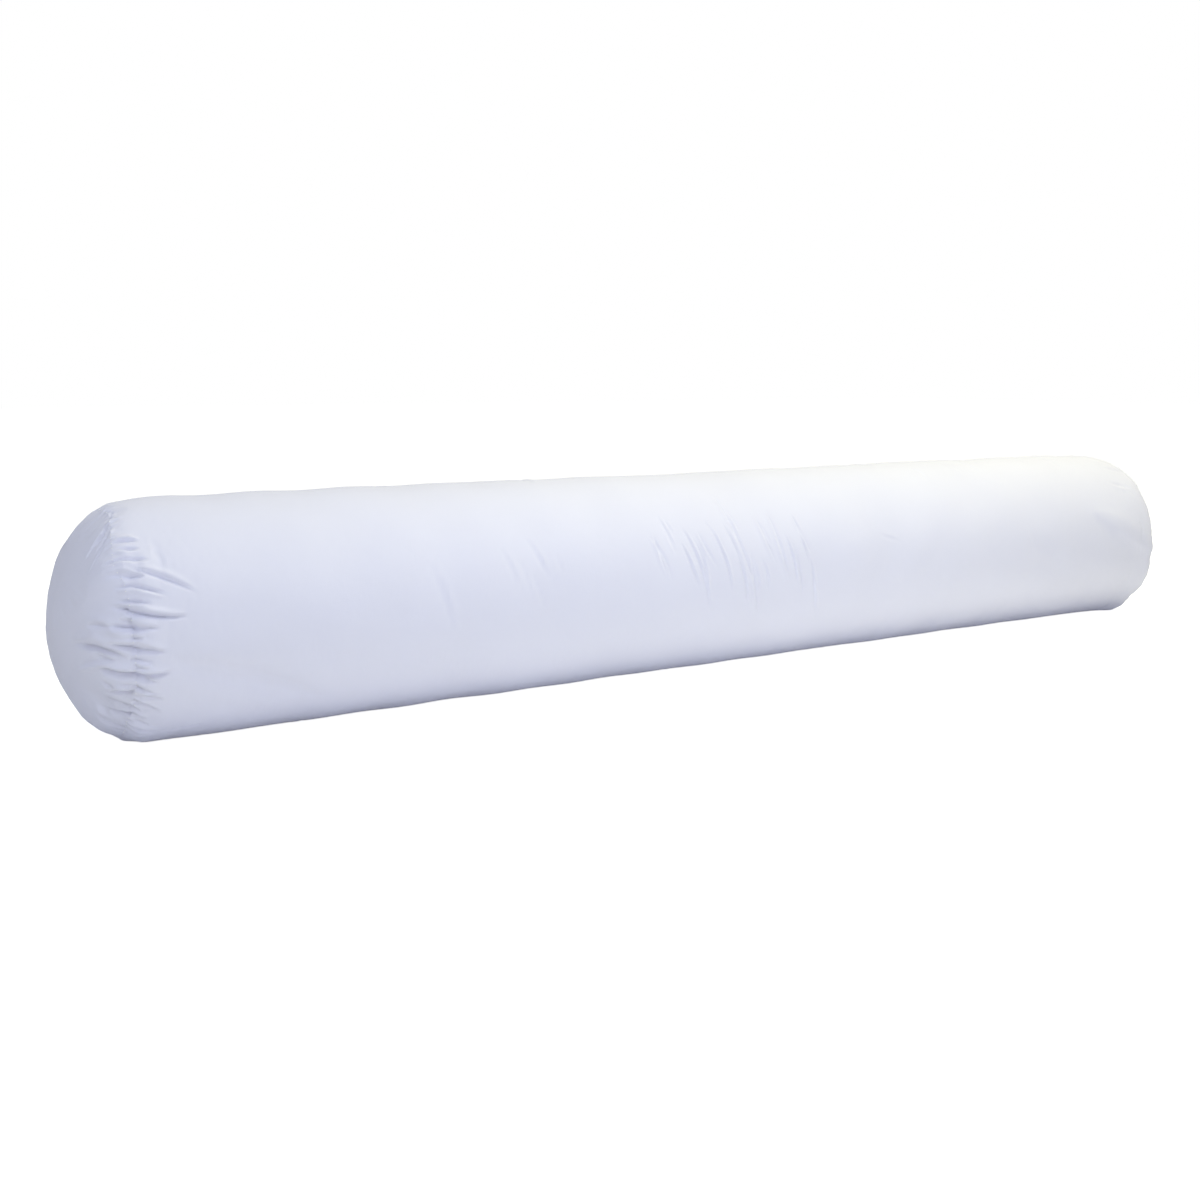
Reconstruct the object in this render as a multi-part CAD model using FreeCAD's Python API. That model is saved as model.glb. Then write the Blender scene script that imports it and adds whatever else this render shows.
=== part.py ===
import FreeCAD, Part
import math
import os

# Long stuffed bolster: a sewn cloth tube with a domed cloth panel at each end.
# Frame: millimetres, +Z up, +X along the bolster, origin on the floor under its middle.

# Stuffed shape
TUBE_R = 115.0          # outside radius of the stuffed tube
SEAM_SPAN = 1400.0      # from one end seam to the other
SEAM_INSET = 10.0       # how far an end seam lies below the tube's surface
SHOULDER = 80.0         # length over which the tube swells from its end seam to full size
DOME_RISE = 50.0        # how far an end panel bulges past its seam
RIM_R = 35.0            # rounding of an end panel near its rim
RIM_LEAN = 30.0         # degrees that an end panel leans inward where it leaves its seam
FLAT_DEPTH = 6.0        # how far the bolster's own weight flattens its underside

# Gathers: the cloth is fuller than the end seams, and is pleated into them on both sides
GATHERS = 48            # ridges round one end seam, which are also the corners of every round form
GATHER_DEPTH = 2.0      # of the valley between two ridges

# Facets along the profiles; a gather runs over the first two facets past the turn into its seam
SHOULDER_STEPS = 5      # on a shoulder of the tube panel
RIM_STEPS = 2           # on an end panel's rounding near its rim
CROWN_STEPS = 3         # on the rest of an end panel

# Cloth and seam allowances
CLOTH = 0.8             # thickness of the cover cloth with its lining of fibre
TURN_R = 3.0            # radius at which the cloth turns down into a seam
ALLOWANCE = 10.0        # width of cloth past a line of stitches
EDGE_GAP = 0.2          # between the tube panel's two long edges

# Stitching
STITCH_INSET = 1.5      # from the bottom of a seam's groove to its stitches
THREAD_W = 0.7          # width of a line of stitches
THREAD_T = 0.3          # how far a line of stitches stands off the cloth
OVERLOCK_W = 5.0        # width of an overlocked edge
OVERLOCK_T = 0.4        # thickness of the overlocking thread on the cloth

# Long seam and the opening through which the cover is filled
LONG_SEAM_DROP = 30.0   # degrees below level, on the +Y side
OPENING_W = 280.0       # length of the filling opening, at the middle of the long seam
LIP_H = 5.0             # height of the opening's pinched lip above the cloth
LIP_STITCH = 2.5        # from the lip's edge down to its closing stitches

FILL_CLEAR = 0.3        # between the stuffing and the cloth or thread round it

# Worked-out sizes
SEAM_X = SEAM_SPAN / 2
SEAM_R = TUBE_R - SEAM_INSET
AXIS_Z = TUBE_R - FLAT_DEPTH
RAW_EDGE_R = SEAM_R - ALLOWANCE
FIN_DEPTH = TURN_R + ALLOWANCE
FIN_SIDE = EDGE_GAP / 2 + CLOTH
LONG_STITCH_X = SEAM_X - CLOTH - max(OVERLOCK_T, THREAD_T) - FILL_CLEAR     # clear of the end seams
OVERSHOOT = 2 * TURN_R                                  # of a cutting solid past what it cuts

LONG_SEAM_TURN = 90 + LONG_SEAM_DROP                    # degrees from the top, round to +Y

X_AXIS = FreeCAD.Vector(1, 0, 0)
AXIS_POINT = FreeCAD.Vector(0, 0, AXIS_Z)


def point(x, radius):
    """Point of the profile plane: distance along the bolster and from its axis."""
    return FreeCAD.Vector(x, 0, AXIS_Z + radius)


def outline(start, heading, hand, moves, inward=0.0):
    """Edges of a chain of lines and tangent arcs that all turn to one hand.

    A move is (length, 0) or (radius, degrees turned). The whole chain is
    shifted inward, towards the side that it turns to."""
    x, radius = start
    edges = []

    def side(angle):
        return -hand * math.sin(math.radians(angle)), hand * math.cos(math.radians(angle))

    def shifted(cx, cr, angle, distance):
        nx, nr = side(angle)
        return point(cx + nx * distance, cr + nr * distance)

    for size, turn in moves:
        if turn == 0:
            first = shifted(x, radius, heading, inward)
            x += size * math.cos(math.radians(heading))
            radius += size * math.sin(math.radians(heading))
            last = shifted(x, radius, heading, inward)
            edges.append(Part.LineSegment(first, last).toShape())
            continue
        nx, nr = side(heading)
        cx, cr = x + nx * size, radius + nr * size
        stops = [heading + hand * turn * share for share in (0, 0.5, 1)]
        first, middle, last = [shifted(cx, cr, stop, inward - size) for stop in stops]
        edges.append(Part.Arc(first, middle, last).toShape())
        heading = stops[-1]
        nx, nr = side(heading)
        x, radius = cx - nx * size, cr - nr * size
    return edges


def stations(edges, steps):
    """Profile points along a chain of edges, each edge divided into its number of steps."""
    points = [edges[0].firstVertex(True).Point]
    for edge, count in zip(edges, steps):
        points += edge.discretize(count + 1)[1:]
    return points


def ring_corners(station, gathered):
    """Corners of the ring that a profile point makes; a gathered ring has a lower one after each ridge."""
    drops = (0.0, GATHER_DEPTH) if gathered else (0.0,)
    corners = []
    for ridge in range(GATHERS):
        for half, drop in enumerate(drops):
            turn = math.radians(LONG_SEAM_TURN + (ridge + half / 2) * 360 / GATHERS)
            radius = station.z - AXIS_Z - drop
            corners.append(FreeCAD.Vector(station.x, radius * math.sin(turn),
                                          AXIS_Z + radius * math.cos(turn)))
    return corners


def facet(*corners):
    """Flat face between corners."""
    return Part.Face(Part.makePolygon([*corners, corners[0]]))


def cap(centre, corners):
    """Facets that close a ring of corners: one flat face, or a fan to a centre that stands out."""
    if math.isclose(centre.x, corners[0].x):
        return [facet(*corners)]
    return [facet(centre, corners[i - 1], corners[i]) for i in range(GATHERS)]


def band(near, far):
    """Facets between two rings of corners, one of which may be gathered."""
    if len(near) < len(far):
        near, far = far, near
    facets = []
    for i in range(GATHERS):
        if len(near) == len(far):
            facets.append(facet(near[i - 1], near[i], far[i], far[i - 1]))
            continue
        ridge, valley, next_ridge = near[2 * i - 2], near[2 * i - 1], near[2 * i]
        facets += [facet(ridge, valley, far[i - 1]), facet(valley, next_ridge, far[i]),
                   facet(far[i - 1], valley, far[i])]
    return facets


def turned(profile, gathered=()):
    """Solid of flat facets round the bolster's axis.

    Its profile starts and ends on the axis, and is gathered at the points so numbered."""
    rings = [ring_corners(station, number in gathered)
             for number, station in enumerate(profile[1:-1], 1)]
    facets = cap(profile[0], rings[0]) + cap(profile[-1], rings[-1])
    for near, far in zip(rings[:-1], rings[1:]):
        facets += band(near, far)
    shell = Part.makeShell(facets)
    shell.sewShape()
    solid = Part.makeSolid(shell)
    if solid.Volume < 0:
        solid.reverse()
    return solid


def flattened(solid, height):
    """The part of a solid above a level, which leaves a true flat underside there."""
    half_x, half_y = SEAM_X + 2 * DOME_RISE, 2 * TUBE_R
    room = Part.makeBox(2 * half_x, 2 * half_y, 3 * TUBE_R, FreeCAD.Vector(-half_x, -half_y, height))
    return solid.common(room)


def disc(radius, x_from, x_to):
    """Many-sided disc on the bolster's axis."""
    return turned([point(x_from, 0), point(x_from, radius), point(x_to, radius), point(x_to, 0)])


def ring(inner_r, outer_r, x_from, x_to):
    """Flat ring round the bolster's axis."""
    return disc(outer_r, x_from, x_to).cut(disc(inner_r, x_from, x_to))


def mirrored(shape):
    """The same shape at the other end of the bolster."""
    return shape.mirror(FreeCAD.Vector(0, 0, 0), X_AXIS)


# Shoulder arc of the tube: tangent to its full radius and to the turn into the end seam
SHOULDER_RUN = SHOULDER - TURN_R
SHOULDER_R = (SHOULDER_RUN ** 2 + SEAM_INSET ** 2 - TURN_R ** 2) / (2 * (SEAM_INSET - TURN_R))
SHOULDER_TURN = math.degrees(math.asin(SHOULDER_RUN / (SHOULDER_R - TURN_R)))
STRAIGHT = SEAM_SPAN - 2 * SHOULDER

GATHERED = 3            # number of the profile point after a seam and its turn


def tube_form(inward):
    """Solid inside the stuffed tube's surface, or inside a surface within it."""
    half = [(SEAM_R, 0), (TURN_R, 90 - SHOULDER_TURN), (SHOULDER_R, SHOULDER_TURN)]
    steps = [1, 1, SHOULDER_STEPS]
    edges = outline((-SEAM_X, 0), 90, -1, half + [(STRAIGHT, 0)] + half[::-1], inward)
    profile = stations(edges, steps + [1] + steps[::-1])
    return flattened(turned(profile, (GATHERED, len(profile) - 1 - GATHERED)), inward)


def dome_form(inward):
    """Solid inside the left end panel's surface, or inside a surface within it."""
    rim_start = 90 + RIM_LEAN
    lean = math.radians(rim_start)
    rim_x = -TURN_R - (RIM_R - TURN_R) * math.cos(lean)
    rim_r = SEAM_R - (RIM_R - TURN_R) * math.sin(lean)
    depth = DOME_RISE + rim_x
    crown_r = (depth ** 2 + rim_r ** 2 - RIM_R ** 2) / (2 * (depth - RIM_R))
    crown_start = math.degrees(math.atan2(rim_r, depth - crown_r))
    moves = [(SEAM_R, 0), (TURN_R, rim_start), (RIM_R, crown_start - rim_start),
             (crown_r, 180 - crown_start)]
    edges = outline((-SEAM_X, 0), 90, 1, moves, inward)
    profile = stations(edges, [1, 1, RIM_STEPS, CROWN_STEPS])
    return flattened(turned(profile, (GATHERED,)), inward)


def long_run(sections, x_from=-SEAM_X - OVERSHOOT, x_to=SEAM_X + OVERSHOOT):
    """Solids that follow the tube's surface under the long seam, one for each section.

    A section is a polygon of (across, height above the cloth) corners. It is
    swept over both shoulders and trimmed to the stretch asked for."""
    tail = (SEAM_INSET + OVERSHOOT, 0)
    moves = [tail, (SHOULDER_R, SHOULDER_TURN), (STRAIGHT, 0), (SHOULDER_R, SHOULDER_TURN), tail]
    slope = math.radians(SHOULDER_TURN)
    start = (-STRAIGHT / 2 - SHOULDER_R * math.sin(slope) - tail[0] * math.cos(slope),
             TUBE_R - SHOULDER_R * (1 - math.cos(slope)) - tail[0] * math.sin(slope))
    path = Part.Wire(outline(start, SHOULDER_TURN, -1, moves))
    up = FreeCAD.Vector(-math.sin(slope), 0, math.cos(slope))
    solids = []
    for section in sections:
        corners = [point(*start) + FreeCAD.Vector(0, across, 0) + up * height
                   for across, height in section]
        profile = Part.makePolygon(corners + corners[:1])
        swept = path.makePipeShell([profile], True, False)
        room = Part.makeBox(x_to - x_from, 2 * TUBE_R, 3 * TUBE_R,
                            FreeCAD.Vector(x_from, -TUBE_R, 0))
        solids.append(swept.common(room))
    whole = solids[0] if len(solids) == 1 else Part.Compound(solids)
    whole.rotate(AXIS_POINT, X_AXIS, -LONG_SEAM_TURN)
    return whole


def block(across_from, across_to, height_from, height_to):
    """Rectangular section for long_run."""
    return [(across_from, height_from), (across_to, height_from),
            (across_to, height_to), (across_from, height_to)]


def both_sides(section):
    """A section and its mirror image across the long seam."""
    return [section, [(-across, height) for across, height in section]]


def seam_groove(grown, depth):
    """V of cloth turned into the long seam and the fin below it, each face grown outward."""
    fin = EDGE_GAP / 2 + grown
    turn_z = -TURN_R - grown * (math.sqrt(2) - 1)
    top = OVERSHOOT
    top_across = fin + top - turn_z
    floor_z = -depth
    return [(-top_across, top), (-fin, turn_z), (-fin, floor_z),
            (fin, floor_z), (fin, turn_z), (top_across, top)]


def tube_panel():
    """The long panel: its ends turned in, its long edges meeting in a seam with a pinched lip."""
    outside = tube_form(0).cut(long_run([seam_groove(0, FIN_DEPTH + OVERSHOOT)]))
    turn = long_run([seam_groove(CLOTH, TURN_R + CLOTH)])
    fin = long_run([seam_groove(CLOTH, FIN_DEPTH)], -LONG_STITCH_X, LONG_STITCH_X)
    inside = tube_form(CLOTH).cut([turn, fin])
    panel = outside.cut(inside).cut(disc(RAW_EDGE_R, -SEAM_X, SEAM_X))
    lip = block(EDGE_GAP / 2, EDGE_GAP / 2 + CLOTH, -FIN_DEPTH, LIP_H)
    return panel.fuse(long_run(both_sides(lip), -OPENING_W / 2, OPENING_W / 2).Solids)


def end_panel():
    """The left end panel: a round of cloth bulging out, its rim turned in."""
    return dome_form(0).cut(dome_form(CLOTH)).cut(disc(RAW_EDGE_R, -SEAM_X - CLOTH, -SEAM_X))


def end_seam_thread():
    """Needle and bobbin thread of the left end seam, one on each turned-in rim."""
    stitch_r = SEAM_R - STITCH_INSET
    lines = [ring(stitch_r - THREAD_W, stitch_r, x, x + THREAD_T)
             for x in (-SEAM_X - CLOTH - THREAD_T, -SEAM_X + CLOTH)]
    return Part.Compound(lines)


def end_seam_overlock():
    """Overlocking round the raw edges of the left end seam."""
    half = CLOTH + OVERLOCK_T
    outer = ring(RAW_EDGE_R - OVERLOCK_T, RAW_EDGE_R + OVERLOCK_W, -SEAM_X - half, -SEAM_X + half)
    return outer.cut(ring(RAW_EDGE_R, RAW_EDGE_R + OVERLOCK_W, -SEAM_X - CLOTH, -SEAM_X + CLOTH))


def long_seam_thread():
    """Stitches of the long seam on both sides of its fin, left out along the opening."""
    top = -TURN_R - STITCH_INSET
    line = block(FIN_SIDE, FIN_SIDE + THREAD_T, top - THREAD_W, top)
    return Part.Compound([long_run(both_sides(line), -LONG_STITCH_X, -OPENING_W / 2),
                          long_run(both_sides(line), OPENING_W / 2, LONG_STITCH_X)])


def long_seam_overlock():
    """Overlocking round the raw edges of the long seam."""
    side, top = FIN_SIDE + OVERLOCK_T, -FIN_DEPTH + OVERLOCK_W
    section = [(-side, top), (-side, -FIN_DEPTH - OVERLOCK_T), (side, -FIN_DEPTH - OVERLOCK_T),
               (side, top), (FIN_SIDE, top), (FIN_SIDE, -FIN_DEPTH), (-FIN_SIDE, -FIN_DEPTH),
               (-FIN_SIDE, top)]
    return long_run([section], -LONG_STITCH_X, LONG_STITCH_X)


def closing_stitches():
    """Stitches on both sides of the filling opening's lip."""
    top = LIP_H - LIP_STITCH
    line = block(FIN_SIDE, FIN_SIDE + THREAD_T, top - THREAD_W, top)
    return long_run(both_sides(line), -OPENING_W / 2, OPENING_W / 2)


def fibre_fill():
    """Stuffing that fills the tube and both ends, clear of the cloth, seams and thread."""
    inward = CLOTH + FILL_CLEAR
    thread = max(OVERLOCK_T, THREAD_T) + FILL_CLEAR
    neck_r = RAW_EDGE_R - thread
    left = dome_form(inward)
    neck = disc(neck_r, -SEAM_X - inward, SEAM_X + inward)
    fill = tube_form(inward).fuse([neck, left, mirrored(left)])
    half = CLOTH + thread
    relief = ring(neck_r, SEAM_R, -SEAM_X - half, -SEAM_X + half)
    fin = long_run([seam_groove(half, FIN_DEPTH + thread)])
    return fill.cut([relief, mirrored(relief), fin]).removeSplitter()


def build():
    """Every piece of the bolster by name."""
    left_panel = end_panel()
    left_thread = end_seam_thread()
    left_overlock = end_seam_overlock()
    return {
        "tube_panel": tube_panel(),
        "left_end_panel": left_panel,
        "right_end_panel": mirrored(left_panel),
        "left_end_seam_thread": left_thread,
        "right_end_seam_thread": mirrored(left_thread),
        "left_end_seam_overlock": left_overlock,
        "right_end_seam_overlock": mirrored(left_overlock),
        "long_seam_thread": long_seam_thread(),
        "long_seam_overlock": long_seam_overlock(),
        "closing_stitches": closing_stitches(),
        "fibre_fill": fibre_fill(),
    }


os.makedirs("parts", exist_ok=True)
for name, shape in build().items():
    shape.exportStep(f"parts/{name}.step")
    box = shape.BoundBox
    print(f"{name}: {len(shape.Solids)} solids, valid {shape.isValid()}, volume {shape.Volume:.0f}, "
          f"x {box.XMin:.1f}..{box.XMax:.1f}, y {box.YMin:.1f}..{box.YMax:.1f}, "
          f"z {box.ZMin:.1f}..{box.ZMax:.1f}")
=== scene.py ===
import math
from typing import NamedTuple

import bpy
import numpy as np
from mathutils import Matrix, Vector


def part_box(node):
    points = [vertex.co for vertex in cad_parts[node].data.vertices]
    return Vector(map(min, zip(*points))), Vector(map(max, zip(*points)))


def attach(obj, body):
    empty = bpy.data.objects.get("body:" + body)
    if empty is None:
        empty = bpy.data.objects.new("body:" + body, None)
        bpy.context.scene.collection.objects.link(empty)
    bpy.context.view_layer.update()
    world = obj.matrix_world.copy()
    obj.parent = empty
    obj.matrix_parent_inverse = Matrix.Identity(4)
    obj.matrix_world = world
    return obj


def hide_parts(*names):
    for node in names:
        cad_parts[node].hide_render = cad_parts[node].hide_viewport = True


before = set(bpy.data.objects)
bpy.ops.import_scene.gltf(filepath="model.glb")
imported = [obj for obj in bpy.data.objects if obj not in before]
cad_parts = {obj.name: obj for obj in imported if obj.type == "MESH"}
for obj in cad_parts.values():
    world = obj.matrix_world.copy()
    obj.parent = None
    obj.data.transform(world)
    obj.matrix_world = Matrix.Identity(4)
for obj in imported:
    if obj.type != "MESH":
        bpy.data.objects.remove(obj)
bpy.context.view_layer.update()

bl_info = {
    "name": "Stuffed Bolster",
    "version": (1, 0, 0),
    "blender": (4, 5, 0),
    "location": "View3D > Sidebar > Bolster",
    "description": "Sews, stuffs and finishes a long cloth bolster around its pattern pieces",
    "category": "Object",
}

MM = 0.001

# Places taken from the pattern pieces, in metres and radians
TUBE_LOW, TUBE_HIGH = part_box("tube_panel")
LIP_LOW, LIP_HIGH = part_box("closing_stitches")
SEAM_X = TUBE_HIGH[0]
TUBE_R = -TUBE_LOW[1]
AXIS_Z = TUBE_HIGH[2] - TUBE_R
DOME_RISE = TUBE_LOW[0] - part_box("left_end_panel")[0][0]
STITCH_R = -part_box("left_end_seam_thread")[0][1]
OPENING_X = LIP_HIGH[0]
LIP_Y, LIP_Z = (LIP_LOW[1] + LIP_HIGH[1]) / 2, (LIP_LOW[2] + LIP_HIGH[2]) / 2
LIP_STITCH_R = math.hypot(LIP_Y, LIP_Z - AXIS_Z)
LONG_SEAM_TURN = math.atan2(LIP_Z - AXIS_Z, -LIP_Y)

# Sizes of the cloth and the stuffing
END_LENGTH = 300 * MM       # stretch of the tube that is simulated with each end
HELD_LENGTH = 15 * MM       # and how much of it is held still, away from the seam
SHOULDER = 80 * MM          # length over which the tube narrows to its end seam
EASED = 25 * MM             # length over which the eased cloth and the seam's drift die away
CREASED = (-180 * MM, 80 * MM)      # stretch of the tube with the finest creases
FINE_LENGTH = 90 * MM       # stretch next to an end seam where the cloth's rings are closest
END_PITCH = 3 * MM          # their spacing there
WIDEST_END_PITCH = 9 * MM   # and as they widen away from it
BODY_PITCH = 6 * MM         # and along the body
CREASED_PITCH = 2.5 * MM    # and where it is creased most
START_TURN = math.pi / 4    # where the columns of cloth start, to meet a corner of the round end
SAME_PLACE = 0.01 * MM      # places nearer than this are one place
WELD = 0.02 * MM            # corners of neighbouring cloths nearer than this are made one
SWELL_FRAMES = 20           # length of the simulation
SWELL_LIMIT = 16 * MM       # how far it may move the cloth
CREST_LIMIT = 2.2 * MM      # how far crossing ridges may stand up together
LUMP_LENGTHS = (0.07, 0.30)     # shortest and longest lump of stuffing
LONG_SEAM_RIPPLES = (0.009, 0.012, 0.0165, 0.031)       # spacings of the long seam's puckers
BACK_CREASES = 46           # random creases on the sides that face away
LONG_SEAM_MARGIN = 14       # degrees beside the long seam where none of them start
LEFT_SAG, RIGHT_SAG = 8 * MM, 4 * MM        # how far the round ends sink at their middles
FLOOR_BLEND = 1.5 * MM      # how softly the cloth flattens where it meets the floor
LIP_WALL = 0.85 * MM        # half the thickness of the pinched lip
LIP_PAST_STITCHES = 2.9 * MM    # how far it stands out past its stitches
LIP_ROOT = 4.5 * MM         # how deep its edges reach into the tube
LIP_PAST_OPENING = 3 * MM   # how far it runs on past the opening's ends
STUFFING_GAP = 9 * MM       # between the stuffing and the pattern of the tube
STUFFING_END_GAP = 12 * MM  # and of the round ends
STUFFING_ROUNDING = 90 * MM     # length over which the stuffing rounds off
STUFFING_LIFT = 4 * MM      # between the stuffing and the floor

# Stitches: how many go round an end seam or how far apart they lie, and half the length, width
# and height of one
CROSS_STITCHES, CROSS_STITCH = 105, (0.35 * MM, 0.9 * MM, 0.3 * MM)
RUNNING_STITCHES, RUNNING_STITCH = 210, (1.35 * MM, 0.3 * MM, 0.35 * MM)
OVERLOCK_LOOPS, OVERLOCK_LOOP = 260, (0.4 * MM, 0.3 * MM, 2.6 * MM)
CLOSING_PITCH, CLOSING_STITCH = 3.5 * MM, (1.5 * MM, 0.35 * MM, 0.35 * MM)
CROSS_DEPTH, RUNNING_DEPTH = 0.1 * MM, 1.6 * MM     # how deep below the seam they lie
OVERLOCK_EDGE = 2.2 * MM    # from the overlocking's middle to the cloth's raw edge
OVERLOCK_SPREAD = 0.5 * MM  # from the seam's middle to the overlocking on each side


class Fold(NamedTuple):
    """A valley in the cloth, in millimetres and degrees above level on the -Y side.

    Past an end seam its run goes on over the round end. A negative depth makes it a ridge.
    """
    run: float          # where it starts along the bolster
    turn: float         # and round it
    end_run: float
    end_turn: float
    bow: float          # how far its middle bows to the left
    depth: float
    width: float
    side: int           # whether the small ridge beside it is on its left (1) or right (-1)


MAIN_FOLDS = [Fold(*row) for row in (
    (-695, 35, -640, 20, 2, 3.5, 2.0, 1),
    (-715, 20, -650, 10, -6, 7.0, 2.0, 1),
    (-700, 28, -665, 20, 0, 4.0, 1.8, -1),
    (-715, 10, -685, 5, -2, 8.0, 2.5, -1),
    (-760, 0, -705, -8, 3, 7.0, 3.2, 1),
    (-720, 0, -670, -5, -2, 8.0, 2.5, 1),
    (-755, -25, -710, -10, 4, -3.0, 2.5, 1),
    (-730, -15, -665, -15, -4, 9.5, 2.5, 1),
    (-720, -30, -690, -25, 0, 6.0, 2.0, 1),
    (-720, -45, -690, -40, 0, 6.0, 2.0, 1),
    (-670, -55, -630, -50, 0, 2.0, 2.5, 1),
    (-670, -10, -520, -40, 2, 6.0, 15.0, 1),
    (430, 5, 520, -15, 0, 1.5, 14.0, 1),
    (565, 25, 705, -10, 4, -4.5, 13.0, -1),
    (630, 45, 670, 40, 0, 1.5, 3.0, -1),
    (650, 60, 695, 55, 2, 1.2, 3.0, 1),
)]
MAIN_CREASES = [Fold(*row) for row in (
    (-415, 25, -395, -10, 1, 1.2, 2.4, 1),
    (-305, 35, -280, 5, 1, 0.9, 2.0, 1),
    (-155, 30, -135, 5, 3, 1.2, 1.5, -1),
    (-110, 35, -80, -15, 0, 1.5, 1.6, 1),
    (-45, 55, -20, -5, -6, 1.6, 1.6, -1),
    (175, 20, 205, 15, 0, 0.5, 2.0, 1),
    (435, 20, 450, 0, 0, 0.7, 2.2, 1),
)]


class Fan(NamedTuple):
    """A row of like folds, each drawn from the same ranges."""
    count: int
    first: tuple        # where the first one starts
    last: tuple         # where the last one starts
    scatter: tuple      # how far a start may stray along and round the bolster
    length: tuple       # shortest and longest
    heading: tuple      # distance and turn gained with each millimetre of length
    depth: tuple        # depth of the shortest and of the longest
    width: float


SEAM_PUCKERS = Fan(count=23, first=(-704, 50), last=(-702, -54), scatter=(7, 2), length=(13, 32),
                   heading=(1, -0.12), depth=(2.6, 4.6), width=1.8)
END_PLEATS = Fan(count=8, first=(-738, 12), last=(-722, -52), scatter=(5, 2), length=(14, 30),
                 heading=(1, -0.2), depth=(1.6, 3.2), width=2.2)
TOP_PLEATS = Fan(count=6, first=(-690, 80), last=(-702, 58), scatter=(5, 2), length=(12, 42),
                 heading=(-0.85, -0.4), depth=(1.4, 2.2), width=1.6)
BODY_CREASES = Fan(count=26, first=(-145, 32), last=(62, 24), scatter=(8, 16), length=(18, 72),
                   heading=(0.25, -0.48), depth=(0.6, 1.5), width=1.4)
LEFT_CREASES = Fan(count=6, first=(-340, 28), last=(-270, 18), scatter=(10, 8), length=(14, 45),
                   heading=(0.3, -0.48), depth=(0.5, 0.9), width=1.6)
FANS = (SEAM_PUCKERS, END_PLEATS, TOP_PLEATS, BODY_CREASES, LEFT_CREASES)

# Shallow hollows between lumps of stuffing, in millimetres and degrees: run, turn, half-length,
# half-turn and depth
HOLLOWS = [
    (-630, -2, 45, 16, 2.5), (-570, -20, 70, 18, 3.0), (-275, 0, 55, 24, 1.8),
    (60, -2, 50, 20, 1.6), (190, -8, 60, 20, 1.6), (500, -6, 60, 22, 2.2),
    (685, -54, 45, 36, -4.0), (704, -50, 22, 30, -7.0), (-60, 70, 80, 40, 1.8), (340, 75, 90, 40, -1.2),
    (-420, 60, 110, 40, -1.0), (-150, 170, 90, 30, 2.0), (250, 150, 80, 30, 2.0),
    (480, 200, 70, 30, 1.8), (-480, 190, 80, 30, 2.0), (20, 215, 80, 26, 1.4),
]
# Where the left end seam strays towards the middle, in degrees and millimetres: turn, half-turn
# and how far it strays
SEAM_STRAYS = [(-20, 60, 6), (45, 14, -5), (85, 20, 8)]


class Lamp(NamedTuple):
    """A round soft lamp: places and size in metres, power in watts."""
    name: str
    place: tuple
    target: tuple
    size: float
    power: float
    tint: tuple


WARM, COOL, BLUE = (1.0, 0.98, 0.72), (0.80, 0.87, 1.0), (0.66, 0.70, 1.0)
LAMPS = [
    Lamp("key", (0.35, -0.1, 1.6), (0.2, 0, 0.1), 1.1, 10.0, WARM),
    Lamp("key_right", (0.95, -0.15, 1.6), (0.55, 0, 0.1), 1.0, 11.0, WARM),
    Lamp("sky_left", (-0.8, -0.7, 1.5), (-0.5, 0, 0.1), 1.2, 6.5, COOL),
    Lamp("end", (-2.0, -0.6, 1.2), (-0.75, 0, 0.1), 1.2, 6.5, COOL),
    Lamp("front", (-0.1, -1.9, 0.35), (0, 0, 0.1), 1.4, 2.5, BLUE),
    Lamp("low", (0, -1.2, 0.08), (0, 0, 0.05), 1.2, 5.5, COOL),
]
FLOOR_SIZE = 30             # in metres
CAMERA_PLACE = (-0.952, -1.269, 0.333)
CAMERA_YAW, CAMERA_PITCH = 32.14, 9.48      # degrees right of +Y, and degrees below level

SEAM_LINES = {}             # places along each end seam, by side, once the cover is sewn


# Sizes and colours that a user would change

class BolsterCloth(bpy.types.PropertyGroup):
    """Cut and colours of the cloth, and colours of its thread and stuffing"""
    columns: bpy.props.IntProperty(
        name="Columns", description="Columns of cloth modelled round the tube, a multiple of eight",
        default=240, min=64, max=400)
    seam_radius: bpy.props.FloatProperty(
        name="Seam radius", description="Radius of each gathered end seam",
        default=STITCH_R + 1.5 * MM, unit="LENGTH")
    round_cut: bpy.props.FloatProperty(
        name="Round end cut", description="Radius that a round end is cut to before it is gathered",
        default=0.121, unit="LENGTH")
    fullness: bpy.props.FloatProperty(
        name="Fullness", description="Share of extra cloth eased into the ends of the tube",
        default=0.03, subtype="FACTOR")
    allowance: bpy.props.FloatProperty(
        name="Seam allowance", description="Width of cloth turned in past the stitches",
        default=0.010, unit="LENGTH")
    seed: bpy.props.IntProperty(
        name="Seed", description="Which set of random wrinkles the cloth takes", default=5)
    colour: bpy.props.FloatVectorProperty(
        name="Cloth colour", description="Colour of the white cover cloth",
        size=4, default=(0.80, 0.80, 0.90, 1.0), subtype="COLOR", min=0, max=1)
    thread_colour: bpy.props.FloatVectorProperty(
        name="Thread colour", description="Colour of the sewing and overlocking thread",
        size=4, default=(0.78, 0.77, 0.80, 1.0), subtype="COLOR", min=0, max=1)
    fibre_colour: bpy.props.FloatVectorProperty(
        name="Fibre colour", description="Colour of the stuffing",
        size=4, default=(0.82, 0.81, 0.79, 1.0), subtype="COLOR", min=0, max=1)


class BolsterStudio(bpy.types.PropertyGroup):
    """Lens and light of the studio"""
    lens: bpy.props.FloatProperty(
        name="Lens", description="Focal length of the camera in millimetres", default=39.8)
    ambient: bpy.props.FloatProperty(
        name="Ambient", description="Strength of the even studio light", default=0.21)
    lamps: bpy.props.FloatProperty(
        name="Lamps", description="Brightness of all lamps together", default=1.0)


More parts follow.
